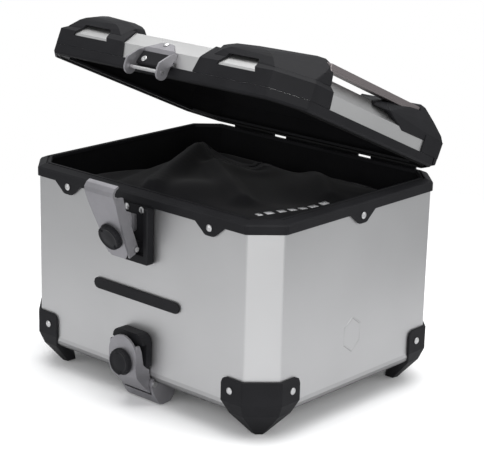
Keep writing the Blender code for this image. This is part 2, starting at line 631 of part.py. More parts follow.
def corner_cap(label, skirt, blocks, sx, sy, axis, lid_solid):
    """Cap from a low skirt and raised blocks, trimmed to the lid and to the end of the rail."""
    skirt_mesh = hull([Vector((sx * x, sy * y, LID_Z + z)) for x, y, z in skirt])
    cap = add_node("lid_cap_" + label, skirt_mesh, "plastic", axis, 30)
    for number, block in enumerate(blocks):
        mesh = hull([Vector((sx * x, sy * y, LID_Z + z)) for x, y, z in block])
        block_obj = add_node("cap_block_" + label + str(number), mesh, "plastic", axis)
        bevel(block_obj, 0.0014, 2)
        boolean(cap, block_obj, "UNION")
    if sy < 0.0:
        eye = [Vector((sx * x, -y, LID_Z + z)) for x, y, z in STRAP_EYE]
        boolean(cap, add_node("cap_eye_" + label, hull(eye), "plastic", axis))
    boolean(cap, lid_solid)
    boolean(cap, rail_cutter("cap_rail_" + label, sx, axis))


def cap_bend(chamfer_in, end_in, side_in, up):
    """Both corners of a cap's outline over the chamfer, each face moved in by its own amount."""
    total = LID_HALF_X + LID_HALF_Y - LID_CHAMFER - chamfer_in * math.sqrt(2.0)
    y, x = LID_HALF_Y - end_in, LID_HALF_X - side_in
    return [(total - y, y, up), (x, total - x, up)]


def build_caps(axis):
    lid_solid = lid_cutter("lid_cutter", axis, GAP)
    x, y = LID_HALF_X, LID_HALF_Y
    base = BAND_TOP + GAP
    front_skirt = cap_bend(0.0, 0.0, 0.0, base) + cap_bend(0.0, 0.0, 0.0, 0.0316)
    front_skirt += cap_bend(0.0036, 0.0030, 0.0030, 0.0336) + cap_bend(0.0068, 0.0060, 0.0050, 0.0360)
    front_skirt += [
        (0.0565, y, base), (0.0612, y, 0.0300), (0.0622, y - 0.0030, 0.0340),
        (0.0632, y - 0.0065, 0.0375), (0.0640, y - 0.0180, 0.0482), (0.0640, y - 0.0250, 0.0488),
        (x, 0.0910, base), (x, 0.0935, 0.0316), (x - 0.0050, 0.0945, 0.0360),
        (x - 0.0170, 0.0960, 0.0482), (x - 0.0250, 0.0970, 0.0488), (0.0565, y - 0.0250, base),
        (x - 0.0250, 0.0910, base),
    ]
    front_block = cap_bend(0.0070, 0.0060, 0.0050, 0.0360) + cap_bend(0.0124, 0.0086, 0.0060, 0.0415)
    front_block += cap_bend(0.0186, 0.0110, 0.0075, 0.0475) + cap_bend(0.0250, 0.0135, 0.0090, 0.0515)
    front_block += cap_bend(0.0330, 0.0165, 0.0110, 0.0545)
    front_block += [
        (0.0740, y - 0.0060, 0.0370), (0.0830, y - 0.0085, 0.0450), (0.0920, y - 0.0108, 0.0500),
        (0.1070, y - 0.0140, 0.0530), (0.0690, 0.1400, 0.0515), (0.0770, 0.1403, 0.0540),
        (0.0880, 0.1385, 0.0572), (0.1030, 0.1380, 0.0580), (0.1150, 0.1320, 0.0600),
        (0.0800, 0.1150, 0.0560), (0.0900, 0.1120, 0.0600), (0.1050, 0.1080, 0.0630),
        (0.1990, 0.0945, 0.0370), (0.1965, 0.0935, 0.0489), (0.1940, 0.0930, 0.0560),
        (0.1900, 0.0930, 0.0620), (0.1800, 0.0930, 0.0670), (0.1700, 0.0935, 0.0680),
        (0.1500, 0.0950, 0.0665), (0.0700, 0.1370, 0.0440), (0.0850, 0.0950, 0.0440),
        (0.1700, 0.0940, 0.0440),
    ]
    rear_skirt = cap_bend(-0.0055, 0.0, 0.0, base) + cap_bend(-0.0064, 0.0, 0.0, 0.0330)
    rear_skirt += [
        (x, 0.0990, base), (x, 0.0990, 0.0330), (0.1200, y, base), (0.1240, y, 0.0340),
        (x - 0.0250, 0.0990, base), (x - 0.0250, 0.0990, 0.0480), (0.1240, y - 0.0250, base),
        (0.1280, y - 0.0250, 0.0480),
    ]
    rear_apron = cap_bend(-2.0 * GAP, -GAP, -GAP, 0.0042) + cap_bend(-2.0 * GAP, -GAP, -GAP, 0.0200)
    rear_apron += cap_bend(-0.0050, 0.0, 0.0, 0.0042) + cap_bend(-0.0058, 0.0, 0.0, 0.0200)
    rear_block = cap_bend(-0.0064, 0.0, 0.0, 0.0325) + cap_bend(-0.0020, 0.0030, 0.0020, 0.0400)
    rear_block += cap_bend(0.0125, 0.0090, 0.0060, 0.0520) + cap_bend(0.0290, 0.0160, 0.0120, 0.0645)
    rear_block += cap_bend(0.0360, 0.0220, 0.0140, 0.0665)
    rear_block += [
        (x - 0.0010, 0.0510, 0.0252), (x - 0.0010, 0.0990, 0.0258), (x - 0.0020, 0.0190, 0.0408),
        (x - 0.0120, 0.0190, 0.0500), (x - 0.0150, 0.0450, 0.0550), (x - 0.0140, 0.0880, 0.0632),
        (x - 0.0500, 0.0190, 0.0540), (x - 0.0500, 0.0500, 0.0590), (x - 0.0400, 0.0900, 0.0650),
        (0.1300, y - 0.0030, 0.0370), (0.1450, y - 0.0200, 0.0600), (0.1450, 0.1100, 0.0600),
        (0.1400, 0.1000, 0.0400), (x - 0.0500, 0.0190, 0.0410),
    ]
    rear_horn = [
        (x - 0.0020, 0.0250, 0.0408), (x - 0.0040, 0.0100, 0.0404), (x - 0.0085, -0.0050, 0.0402),
        (x - 0.0100, -0.0010, 0.0448), (x - 0.0120, 0.0110, 0.0485), (x - 0.0130, 0.0250, 0.0512),
        (x - 0.0500, 0.0000, 0.0470), (x - 0.0500, 0.0250, 0.0545), (x - 0.0500, 0.0000, 0.0410),
        (x - 0.0500, 0.0250, 0.0410),
    ]
    for side, sx in (("left", -1.0), ("right", 1.0)):
        corner_cap("front_" + side, front_skirt, [front_block], sx, -1.0, axis, lid_solid)
        rear_parts = [rear_apron, rear_block, rear_horn]
        corner_cap("rear_" + side, rear_skirt, rear_parts, sx, 1.0, axis, lid_solid)


def build_catch(axis):
    """Bracket on the lid's front with two cheeks, cross pin, insert and fixings."""
    face = -(LID_HALF_Y - LID_RECESS) - GAP
    low, fold, run = 0.0135, LID_BEND, 0.0088
    plate = [
        (0.0, low), (0.0, fold), (-run, fold + run), (-run + 0.0011, fold + run + 0.0011),
        (0.0016, fold + 0.0007), (0.0016, low),
    ]
    bracket = add_node(
        "catch_bracket", plate_x([(face - a, LID_Z + h) for a, h in plate], -0.0300, 0.0300), "cast", axis, 30
    )
    half = [
        (0.0240, low - 0.001), (0.0240, 0.0165), (0.0268, 0.0175), (0.0268, 0.0283), (0.0215, 0.0302),
        (0.0120, 0.0370), (0.0092, 0.0388), (0.0050, 0.0402),
    ]
    mask = [(x, LID_Z + h) for x, h in half] + [(-x, LID_Z + h) for x, h in reversed(half)]
    mask_mesh = plate_y(mask, face - 0.01, face + 0.02)
    boolean(bracket, add_node("catch_mask", mask_mesh, "cast", axis), "INTERSECT")
    cheek = [(0.0, 0.0278), (0.0040, 0.0270), (0.0100, 0.0240), (0.0238, 0.0112), (0.0246, 0.0050)]
    cheek += arc(CATCH_PIN, 0.0090, 8.0, -172.0, 10)
    cheek += [(0.0064, 0.0050), (0.0053, 0.0116), (0.0024, 0.0185), (0.0, 0.0200)]
    for label, inner, outer in (("left", -0.0268, -0.0242), ("right", 0.0242, 0.0268)):
        side = plate_x([(face - a, LID_Z + h) for a, h in cheek], inner, outer)
        boolean(bracket, add_node("catch_cheek_" + label, side, "cast", axis), "UNION")
    pin_y, pin_z = face - CATCH_PIN[0], LID_Z + CATCH_PIN[1]
    along = (1.0, 0.0, 0.0)
    hole = lathe((-0.03, pin_y, pin_z), along, [(0.0, 0.0024), (0.06, 0.0024)], 12)
    boolean(bracket, add_node("catch_bore", hole, "cast", axis))
    pin = lathe((-0.0278, pin_y, pin_z), along, [(0.0, 0.0021), (0.0556, 0.0021)], 12)
    add_node("catch_pin", pin, "rivet", axis, 40)
    block = [(0.0020, 0.0247), (0.0034, 0.0244), (0.0092, 0.0098), (0.0088, 0.0080), (0.0020, 0.0080)]
    insert = plate_x([(face - a, LID_Z + h) for a, h in block], -0.0236, 0.0236)
    add_node("catch_insert", insert, "plastic", axis, 30)
    screw = [(GAP, 0.0038), (0.0008, 0.0038), (0.0012, 0.0033), (0.0012, 0.0016), (0.0004, 0.0016)]
    at = (-0.0150, face - 0.0073, LID_Z + 0.0145)
    outwards = (0.0, -0.930, 0.369)
    add_node("catch_screw", lathe(at, outwards, screw, 16), "rivet", axis, 40)
    rivet("catch_rivet", (0.0, face + 0.0052, LID_Z + fold + 0.0075), (0.0, -1.0, 1.0), 0.0036, axis)


def build_bag():
    """Soft inner bag, here a plain cushion that fills the tub to just below the rim."""
    gap = 0.0035
    loops = [
        tub_ring(-EDGE_RADIUS - 0.004, FLOOR_Z + SHEET + 0.001), tub_ring(-0.0080, FLOOR_Z + 0.022),
        tub_ring(-SHEET - gap, FLOOR_Z + 0.060), tub_ring(-SHEET - gap, 0.2180), tub_ring(-0.0200, 0.2330),
        tub_ring(-0.0500, 0.2420), tub_ring(-0.0900, 0.2480),
    ]
    add_node("inner_bag", skin(loops, False), "fabric", smooth=60)


def main():
    clear_scene()
    bpy.context.scene.unit_settings.scale_length = 1.0
    envelope = tub_envelope("tub_envelope", GAP)
    build_tub()
    build_rim()
    for label, sx, sy in (
        ("front_left", -1, -1), ("front_right", 1, -1), ("rear_left", -1, 1), ("rear_right", 1, 1),
    ):
        build_corner(label, sx, sy, envelope)
    build_name_strip()
    build_latch()
    build_mount_lock(envelope)
    lid_axis = add_axis("lid_axis", (0.0, HINGE_Y, HINGE_Z), -LID_OPEN)
    for label, (middle, half) in HINGES.items():
        build_hinge(label, middle, half, lid_axis)
    build_lid(lid_axis)
    for label, sx in (("left", -1.0), ("right", 1.0)):
        build_rail(label, sx, lid_axis)
    build_caps(lid_axis)
    build_catch(lid_axis)
    build_bag()


main()
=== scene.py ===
"""Looks of the motorcycle top case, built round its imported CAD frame."""

import math

import bmesh
import bpy
from mathutils import Matrix, Vector
from mathutils.bvhtree import BVHTree


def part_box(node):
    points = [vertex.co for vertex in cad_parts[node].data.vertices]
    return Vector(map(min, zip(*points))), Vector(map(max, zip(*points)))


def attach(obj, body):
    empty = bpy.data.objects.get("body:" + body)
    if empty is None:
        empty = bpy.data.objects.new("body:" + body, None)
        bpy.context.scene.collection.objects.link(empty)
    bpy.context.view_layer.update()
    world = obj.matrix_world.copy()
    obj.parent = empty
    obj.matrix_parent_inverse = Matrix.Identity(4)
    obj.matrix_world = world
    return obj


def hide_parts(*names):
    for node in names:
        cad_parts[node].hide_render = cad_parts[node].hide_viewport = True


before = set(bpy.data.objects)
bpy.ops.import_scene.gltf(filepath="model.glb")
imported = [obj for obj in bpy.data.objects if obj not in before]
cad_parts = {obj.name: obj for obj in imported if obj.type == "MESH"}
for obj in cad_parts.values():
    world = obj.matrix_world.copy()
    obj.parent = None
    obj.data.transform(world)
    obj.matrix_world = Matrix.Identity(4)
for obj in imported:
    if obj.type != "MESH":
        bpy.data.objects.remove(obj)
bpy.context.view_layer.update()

DEG = math.pi / 180.0

# ---------------------------------------------------------------- camera, light and floor
CAMERA_AT = (1.33374, -1.46534, 0.78006)
CAMERA_AZIMUTH = 41.9605
CAMERA_ELEVATION = 16.8082
CAMERA_ROLL = 1.4025
CAMERA_LENS = 124.82
FLOOR_CLEAR = 0.42
FLOOR_RADIUS = 0.95
FLOOR_BOUNCE = (0.72, 0.72, 0.73)


def make_camera():
    data = bpy.data.cameras.new("camera")
    data.sensor_width = 36.0
    data.lens = CAMERA_LENS
    data.clip_start = 0.05
    data.clip_end = 50.0
    camera = bpy.data.objects.new("camera", data)
    bpy.context.scene.collection.objects.link(camera)
    azimuth, elevation, roll = CAMERA_AZIMUTH * DEG, CAMERA_ELEVATION * DEG, CAMERA_ROLL * DEG
    back = Vector((
        math.sin(azimuth) * math.cos(elevation),
        -math.cos(azimuth) * math.cos(elevation),
        math.sin(elevation),
    ))
    right = Vector((math.cos(azimuth), math.sin(azimuth), 0.0))
    up = back.cross(right)
    across = right * math.cos(roll) + up * math.sin(roll)
    upwards = up * math.cos(roll) - right * math.sin(roll)
    turn = Matrix((across, upwards, back)).transposed().to_4x4()
    camera.matrix_world = Matrix.Translation(CAMERA_AT) @ turn
    bpy.context.scene.camera = camera


def area_light(name, at, towards, size, power, colour=(1.0, 1.0, 1.0)):
    data = bpy.data.lights.new(name, "AREA")
    data.shape = "RECTANGLE"
    data.size, data.size_y = size
    data.energy = power
    data.color = colour
    light = bpy.data.objects.new(name, data)
    bpy.context.scene.collection.objects.link(light)
    light.location = at
    light.rotation_mode = "QUATERNION"
    light.rotation_quaternion = (Vector(towards) - Vector(at)).to_track_quat("-Z", "Y")
    return light


def make_studio():
    world = bpy.data.worlds.new("studio")
    bpy.context.scene.world = world
    world.use_nodes = True
    tree = world.node_tree
    tree.nodes.clear()
    out = tree.nodes.new("ShaderNodeOutputWorld")
    mix = tree.nodes.new("ShaderNodeMixShader")
    path = tree.nodes.new("ShaderNodeLightPath")
    lit = tree.nodes.new("ShaderNodeBackground")
    seen = tree.nodes.new("ShaderNodeBackground")
    lit.inputs["Color"].default_value = (0.93, 0.94, 0.96, 1.0)
    lit.inputs["Strength"].default_value = 0.55
    seen.inputs["Color"].default_value = (1.0, 1.0, 1.0, 1.0)
    tree.links.new(path.outputs["Is Camera Ray"], mix.inputs["Fac"])
    tree.links.new(lit.outputs["Background"], mix.inputs[1])
    tree.links.new(seen.outputs["Background"], mix.inputs[2])
    tree.links.new(mix.outputs["Shader"], out.inputs["Surface"])
    bpy.context.scene.view_settings.view_transform = "Standard"

    middle = (0.0, 0.0, 0.2)
    area_light("top_box", (0.1, 0.1, 2.2), middle, (2.6, 2.6), 60.0)
    area_light("front_box", (1.9, -1.7, 0.75), middle, (1.1, 1.5), 24.0)
    area_light("right_box", (2.2, 1.1, 1.1), middle, (1.2, 1.6), 12.0)
    area_light("left_box", (-0.45, -1.5, 0.6), middle, (0.9, 0.9), 4.5)
    make_floor()


def make_floor():
    """Plain white floor that fades into the white surround, and gives back less light than it shows."""
    bm = bmesh.new()
    bmesh.ops.create_circle(bm, cap_ends=True, segments=96, radius=FLOOR_RADIUS)
    mesh = bpy.data.meshes.new("floor")
    bm.to_mesh(mesh)
    bm.free()
    floor = bpy.data.objects.new("floor", mesh)
    bpy.context.scene.collection.objects.link(floor)
    n = Nodes("floor_white")
    n.set(Roughness=0.9, Specular_IOR_Level=0.05)
    path = n.add("ShaderNodeLightPath")
    n.colour(n.ramp(path.outputs["Is Camera Ray"], FLOOR_BOUNCE, (1.0, 1.0, 1.0), 0.0, 1.0))
    distance = n.add("ShaderNodeVectorMath", operation="LENGTH")
    n.link(n.place, distance.inputs[0])
    fade = n.spread(distance.outputs["Value"], 0.0, 1.0, FLOOR_CLEAR, FLOOR_RADIUS * 0.98)
    mix = n.add("ShaderNodeMixShader")
    clear = n.add("ShaderNodeBsdfTransparent")
    out = n.tree.nodes["Material Output"]
    n.link(fade, mix.inputs["Fac"])
    n.link(n.shader.outputs["BSDF"], mix.inputs[1])
    n.link(clear.outputs["BSDF"], mix.inputs[2])
    n.link(mix.outputs["Shader"], out.inputs["Surface"])
    mesh.materials.append(n.mat)


# ---------------------------------------------------------------- materials
class Nodes:
    """Short calls for building one material's node tree."""

    def __init__(self, name):
        self.mat = bpy.data.materials.new(name)
        self.mat.use_nodes = True
        self.tree = self.mat.node_tree
        self.shader = self.tree.nodes["Principled BSDF"]
        self.place = self.add("ShaderNodeTexCoord").outputs["Object"]

    def add(self, kind, **values):
        node = self.tree.nodes.new(kind)
        for key, value in values.items():
            setattr(node, key, value)
        return node

    def link(self, source, target):
        self.tree.links.new(source, target)

    def set(self, **values):
        for key, value in values.items():
            self.shader.inputs[key.replace("_", " ")].default_value = value

    def scaled(self, scale):
        node = self.add("ShaderNodeMapping")
        node.inputs["Scale"].default_value = scale
        self.link(self.place, node.inputs["Vector"])
        return node.outputs["Vector"]

    def noise(self, scale, detail=3.0, roughness=0.5, stretch=None):
        node = self.add("ShaderNodeTexNoise")
        node.inputs["Scale"].default_value = scale
        node.inputs["Detail"].default_value = detail
        node.inputs["Roughness"].default_value = roughness
        self.link(self.scaled(stretch) if stretch else self.place, node.inputs["Vector"])
        return node.outputs["Fac"]

    def ramp(self, fac, low, high, low_at=0.3, high_at=0.7):
        node = self.add("ShaderNodeValToRGB")
        node.color_ramp.elements[0].position = low_at
        node.color_ramp.elements[1].position = high_at
        node.color_ramp.elements[0].color = (*low, 1.0)
        node.color_ramp.elements[1].color = (*high, 1.0)
        self.link(fac, node.inputs["Fac"])
        return node.outputs["Color"]

    def spread(self, fac, low, high, from_low=0.3, from_high=0.7):
        node = self.add("ShaderNodeMapRange")
        node.inputs["From Min"].default_value = from_low
        node.inputs["From Max"].default_value = from_high
        node.inputs["To Min"].default_value = low
        node.inputs["To Max"].default_value = high
        self.link(fac, node.inputs["Value"])
        return node.outputs["Result"]

    def maths(self, operation, a, b):
        node = self.add("ShaderNodeMath", operation=operation)
        for socket, value in zip(node.inputs, (a, b)):
            if isinstance(value, (int, float)):
                socket.default_value = value
            else:
                self.link(value, socket)
        return node.outputs["Value"]

    def bump(self, height, strength, distance):
        node = self.add("ShaderNodeBump")
        node.inputs["Strength"].default_value = strength
        node.inputs["Distance"].default_value = distance
        self.link(height, node.inputs["Height"])
        self.link(node.outputs["Normal"], self.shader.inputs["Normal"])

    def colour(self, source):
        self.link(source, self.shader.inputs["Base Color"])

    def roughness(self, source):
        self.link(source, self.shader.inputs["Roughness"])


def aluminium(name, colour, rough, stretch):
    """Satin sheet: faint clouding and a fine grain drawn out along the sheet."""
    n = Nodes(name)
    n.set(Metallic=1.0)
    cloud = n.noise(5.0, 3.0)
    low = tuple(c * 0.95 for c in colour)
    high = tuple(min(c * 1.05, 1.0) for c in colour)
    n.colour(n.ramp(cloud, low, high))
    grain = n.noise(60.0, 4.0, 0.6, stretch)
    broad = n.spread(cloud, rough - 0.02, rough + 0.02)
    n.roughness(n.maths("ADD", n.spread(grain, -0.03, 0.03), broad))
    n.bump(grain, 0.05, 0.0002)
    return n.mat


def shaded_below(mat, darkest):
    """Painted shade: darkens the sheet's colour where it turns under towards the floor, standing in for
    the shade and darker reflections there.
    """
    tree = mat.node_tree
    shader = tree.nodes["Principled BSDF"]
    source = shader.inputs["Base Color"].links[0].from_socket
    facing = tree.nodes.new("ShaderNodeNewGeometry")
    split = tree.nodes.new("ShaderNodeSeparateXYZ")
    tree.links.new(facing.outputs["True Normal"], split.inputs["Vector"])
    amount = tree.nodes.new("ShaderNodeMapRange")
    amount.inputs["From Min"].default_value = -0.75
    amount.inputs["From Max"].default_value = -0.05
    amount.inputs["To Min"].default_value = darkest
    amount.inputs["To Max"].default_value = 1.0
    tree.links.new(split.outputs["Z"], amount.inputs["Value"])
    scale = tree.nodes.new("ShaderNodeVectorMath")
    scale.operation = "SCALE"
    tree.links.new(source, scale.inputs[0])
    tree.links.new(amount.outputs["Result"], scale.inputs["Scale"])
    tree.links.new(scale.outputs["Vector"], shader.inputs["Base Color"])
    return mat


def moulded(name, colour, rough, grain_size=1400.0, depth=0.12):
    """Moulded plastic with a fine leather-like grain and slightly paler rubbed patches."""
    n = Nodes(name)
    wear = n.noise(22.0, 4.0, 0.6)
    n.colour(n.ramp(wear, colour, tuple(c * 1.35 + 0.002 for c in colour), 0.35, 0.75))
    grain = n.noise(grain_size, 2.0)
    n.roughness(n.maths("ADD", n.spread(wear, rough - 0.04, rough + 0.05), n.spread(grain, -0.04, 0.04)))
    n.set(Specular_IOR_Level=0.13)
    n.bump(grain, depth, 0.0003)
    return n.mat


def cast(name, colour, rough):
    """Die-cast metal with a silver coat: fine pits and soft shade changes."""
    n = Nodes(name)
    n.set(Metallic=0.85)
    cloud = n.noise(35.0, 4.0, 0.6)
    n.colour(n.ramp(cloud, tuple(c * 0.9 for c in colour), tuple(c * 1.08 for c in colour)))
    pits = n.noise(1100.0, 2.0)
    n.roughness(n.spread(cloud, rough - 0.05, rough + 0.05))
    n.bump(pits, 0.08, 0.0002)
    return n.mat


def bright(name, colour, rough):
    """Turned or headed metal with faint marks."""
    n = Nodes(name)
    n.set(Metallic=1.0)
    marks = n.noise(400.0, 3.0, 0.6)
    n.colour(n.ramp(marks, tuple(c * 0.9 for c in colour), colour))
    n.roughness(n.spread(marks, rough - 0.05, rough + 0.08))
    return n.mat


def woven(name, colour, pitch=0.0007, depth=0.25, rough=0.85, sheen=0.06):
    """Plain-weave cloth from two crossed sets of threads."""
    n = Nodes(name)
    turns = 1.0 / pitch
    waves = []
    for direction in ("X", "Y"):
        wave = n.add("ShaderNodeTexWave", wave_type="BANDS", bands_direction=direction)
        wave.inputs["Scale"].default_value = turns / 20.0 * 2.0
        wave.inputs["Distortion"].default_value = 0.4
        wave.inputs["Detail"].default_value = 1.0
        n.link(n.place, wave.inputs["Vector"])
        waves.append(wave.outputs["Fac"])
    weave = n.maths("MAXIMUM", *waves)
    cloud = n.noise(14.0, 4.0, 0.6)
    n.colour(n.ramp(cloud, colour, tuple(c * 1.5 + 0.002 for c in colour)))
    n.roughness(n.spread(cloud, rough - 0.06, rough + 0.06))
    n.set(Specular_IOR_Level=0.12, Sheen_Weight=sheen, Sheen_Roughness=0.5)
    n.bump(weave, depth, pitch * 0.4)
    return n.mat


MATERIALS = {
    # The tub's aluminium gets painted shade on its downward-facing faces from shaded_below.
    "tub": shaded_below(aluminium("tub_aluminium", (0.51, 0.51, 0.51), 0.42, (1.0, 1.0, 30.0)), 0.35),
    "lid": aluminium("lid_aluminium", (0.56, 0.56, 0.555), 0.40, (0.2, 0.2, 12.0)),
    "plastic": moulded("black_plastic", (0.0080, 0.0080, 0.0092), 0.54),
    "knob": moulded("knob_plastic", (0.0085, 0.0085, 0.0100), 0.45, 900.0, 0.06),
    "cast": cast("cast_silver", (0.29, 0.285, 0.30), 0.48),
    "rivet": bright("rivet_metal", (0.62, 0.62, 0.62), 0.34),
    "rail": aluminium("rail_aluminium", (0.24, 0.215, 0.215), 0.42, (1.0, 0.05, 1.0)),
    "rubber": moulded("seal_rubber", (0.010, 0.010, 0.010), 0.65, 700.0, 0.08),
    "bag": woven("bag_cloth", (0.0080, 0.0078, 0.0090)),
    "lining": woven("lining_cloth", (0.0028, 0.0028, 0.0034), 0.0009, 0.2, 0.9),
    "thread": woven("thread", (0.030, 0.030, 0.032), 0.0005, 0.3, 0.8),
    "print": moulded("pale_print", (0.80, 0.80, 0.81), 0.6),
}


def finish_of(node):
    if node == "tub_shell":
        return "tub"
    if node == "lid_shell":
        return "lid"
    if node.endswith("knob"):
        return "knob"
    if "rivet" in node or node.endswith("_pin") or "hinge_pin" in node or node == "catch_screw":
        return "rivet"
    if node.startswith("rail"):
        return "rail"
    if node == "lid_seal":
        return "rubber"
    if node == "inner_bag":
        return "bag"
    if node == "lid_lining":
        return "lining"
    if node in ("latch_tongue", "latch_lever", "mount_lock_lever", "mount_claw", "catch_bracket"):
        return "cast"
    return "plastic"


def finish_nodes():
    for name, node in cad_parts.items():
        material = MATERIALS[finish_of(name)]
        node.data.materials.clear()
        node.data.materials.append(material)


# ---------------------------------------------------------------- new pieces
def add_piece(name, bm, body, material, smooth=40.0):
    """Makes a piece from bm; edges sharper than smooth degrees stay sharp."""
    mesh = bpy.data.meshes.new(name)
    bmesh.ops.recalc_face_normals(bm, faces=bm.faces)
    bm.to_mesh(mesh)
    bm.free()
    piece = bpy.data.objects.new(name, mesh)
    bpy.context.scene.collection.objects.link(piece)
    mesh.materials.append(MATERIALS[material])
    mesh.shade_smooth()
    mesh.set_sharp_from_angle(angle=smooth * DEG)
    if body:
        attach(piece, body)
    return piece


def skin(rings, closed=False, caps=True):
    """Skin over rings of the same number of points."""
    bm = bmesh.new()
    rows = [[bm.verts.new(p) for p in ring] for ring in rings]
    pairs = list(zip(rows, rows[1:])) + ([(rows[-1], rows[0])] if closed else [])
    for low, high in pairs:
        count = len(low)
        for i in range(count):
            j = (i + 1) % count
            bm.faces.new((low[i], low[j], high[j], high[i]))
    if caps and not closed:
        bm.faces.new(rows[0])
        bm.faces.new(rows[-1])
    return bm


# ---------------------------------------------------------------- locking knobs
KNOB_RIBS = 22
KNOB_TILT = {"latch_knob": 21.0 * DEG, "mount_lock_knob": 0.0}
KNOB_BACK = {"latch_knob": (0.0, -0.20422, 0.21649), "mount_lock_knob": (0.0, -0.18730, 0.05900)}
KNOB_STEPS = 88
KNOB_RIB_DEPTH = 0.0006
KNOB_NOTCH_DEPTH = 0.0042
KNOB_NOTCH_HALF = 0.20


def make_knob(name, node, body, turn):
    """Round plastic knob: ribbed skirt, a dished face and a notch at each end of its grip."""
    low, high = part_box(node)
    cx, cz = (low.x + high.x) / 2.0, (low.z + high.z) / 2.0
    radius = (high.x - low.x) / 2.0
    tilt = KNOB_TILT[node]
    out = Vector((0.0, -math.cos(tilt), -math.sin(tilt)))
    up = Vector((0.0, -math.sin(tilt), math.cos(tilt)))
    across = Vector((1.0, 0.0, 0.0))
    back = KNOB_BACK[node]

    def ring(depth, inset, ribs, notch):
        points = []
        for i in range(KNOB_STEPS):
            angle = 2.0 * math.pi * i / KNOB_STEPS
            r = radius - inset
            r -= ribs * KNOB_RIB_DEPTH * (0.5 + 0.5 * math.cos(KNOB_RIBS * angle))
            for middle in (turn, turn + math.pi):
                away = abs((angle - middle + math.pi) % (2.0 * math.pi) - math.pi)
                r -= notch * KNOB_NOTCH_DEPTH * max(0.0, 1.0 - (away / KNOB_NOTCH_HALF) ** 2)
            side = across * (r * math.cos(angle)) + up * (r * math.sin(angle))
            points.append(Vector(back) + side + out * depth)
        return points

    rings = [
        ring(0.0, 0.0004, 0.0, 0.0), ring(0.0012, 0.0, 0.0, 0.0), ring(0.0016, 0.0003, 1.0, 0.4),
        ring(0.0048, 0.0004, 1.0, 1.0), ring(0.0058, 0.0010, 0.6, 1.0), ring(0.0065, 0.0022, 0.0, 1.0),
        ring(0.0066, 0.0030, 0.0, 0.8), ring(0.0060, 0.0040, 0.0, 0.5), ring(0.0058, 0.0060, 0.0, 0.2),
        ring(0.0064, 0.0100, 0.0, 0.0), ring(0.0066, 0.0150, 0.0, 0.0),
    ]
    knob = add_piece(name, skin(rings), body, "knob", 28.0)
    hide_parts(node)
    return knob


# ---------------------------------------------------------------- inner bag
BAG_VOXEL = 0.0065
BAG_RINGS = (  # inwards from the tub's outside, height
    (0.0240, 0.0340), (0.0105, 0.0540), (0.0068, 0.0860), (0.0068, 0.2040), (0.0110, 0.2170),
    (0.0220, 0.2260), (0.0450, 0.2315), (0.0850, 0.2345),
)
BAG_SOFT_Z = 0.1900
BAG_TOP_Z = 0.2540
BAG_CLEAR = 0.0024
BAG_PRESSURE = 3.0
BAG_FRAMES = 16
BAG_MOST_SWELL = 0.0060
BAG_HELD_Z = 0.1200
FOLDS = (  # from, to, height, half width
    ((-0.045, -0.100), (-0.150, 0.105), 0.0170, 0.0120),
    ((-0.075, 0.045), (0.066, -0.055), 0.0110, 0.0130),
    ((0.030, 0.118), (0.118, 0.040), 0.0060, 0.0110),
    ((-0.140, 0.100), (-0.040, 0.085), -0.0060, 0.0140),
    ((-0.125, -0.110), (-0.175, 0.060), -0.0100, 0.0200),
    ((0.000, 0.060), (0.100, 0.000), -0.0050, 0.0300),
)
MOUNDS = (((-0.012, -0.062), 0.0100, 0.0420), ((0.070, 0.060), 0.0060, 0.0500))
TUB_HALF = (0.2000, 0.16325)
TUB_CUT = 0.0303


def tub_outline(inwards, z):
    """The tub's eight corners, moved inwards, at one height."""
    hx, hy = TUB_HALF[0] - inwards, TUB_HALF[1] - inwards
    cut = TUB_CUT - inwards * (2.0 - math.sqrt(2.0))
    corners = [
        (hx - cut, -hy), (hx, -hy + cut), (hx, hy - cut), (hx - cut, hy),
        (-hx + cut, hy), (-hx, hy - cut), (-hx, -hy + cut), (-hx + cut, -hy),
    ]
    return [(x, y, z) for x, y in corners]


def fold_height(x, y):
    """How far the folds and full places lift the top of the bag at (x, y)."""
    lift = 0.0
    for (ax, ay), (bx, by), height, width in FOLDS:
        dx, dy = bx - ax, by - ay
        along = ((x - ax) * dx + (y - ay) * dy) / (dx * dx + dy * dy)
        held = min(max(along, 0.0), 1.0)
        away = math.hypot(x - ax - held * dx, y - ay - held * dy)
        lift += height * math.exp(-((away / width) ** 2))
    for (cx, cy), height, width in MOUNDS:
        lift += height * math.exp(-((x - cx) ** 2 + (y - cy) ** 2) / width ** 2)
    return lift


def apply_modifier(piece, modifier):
    """Keeps the mesh that the piece's modifiers make, and removes that modifier."""
    graph = bpy.context.evaluated_depsgraph_get()
    mesh = bpy.data.meshes.new_from_object(piece.evaluated_get(graph))
    piece.modifiers.remove(modifier)
    piece.data = mesh


def inflate(piece, pressure, frames, most, pinned_below):
    """Swells a closed cloth shape by air pressure, and lets no point move further than most."""
    before = [v.co.copy() for v in piece.data.vertices]
    group = piece.vertex_groups.new(name="held")
    group.add([v.index for v in piece.data.vertices if v.co.z < pinned_below], 1.0, "REPLACE")
    cloth = piece.modifiers.new("cloth", "CLOTH")
    settings = cloth.settings
    settings.quality = 4
    settings.mass = 0.25
    settings.tension_stiffness = 12.0
    settings.compression_stiffness = 6.0
    settings.shear_stiffness = 4.0
    settings.bending_stiffness = 0.3
    settings.vertex_group_mass = "held"
    settings.use_pressure = True
    settings.uniform_pressure_force = pressure
    settings.effector_weights.gravity = 0.0
    cloth.collision_settings.use_collision = False
    scene = bpy.context.scene
    for frame_number in range(1, frames + 1):
        scene.frame_set(frame_number)
    apply_modifier(piece, cloth)
    for vertex, start in zip(piece.data.vertices, before):
        step = vertex.co - start
        if step.length > most:
            vertex.co = start + step * (most / step.length)
    scene.frame_set(1)


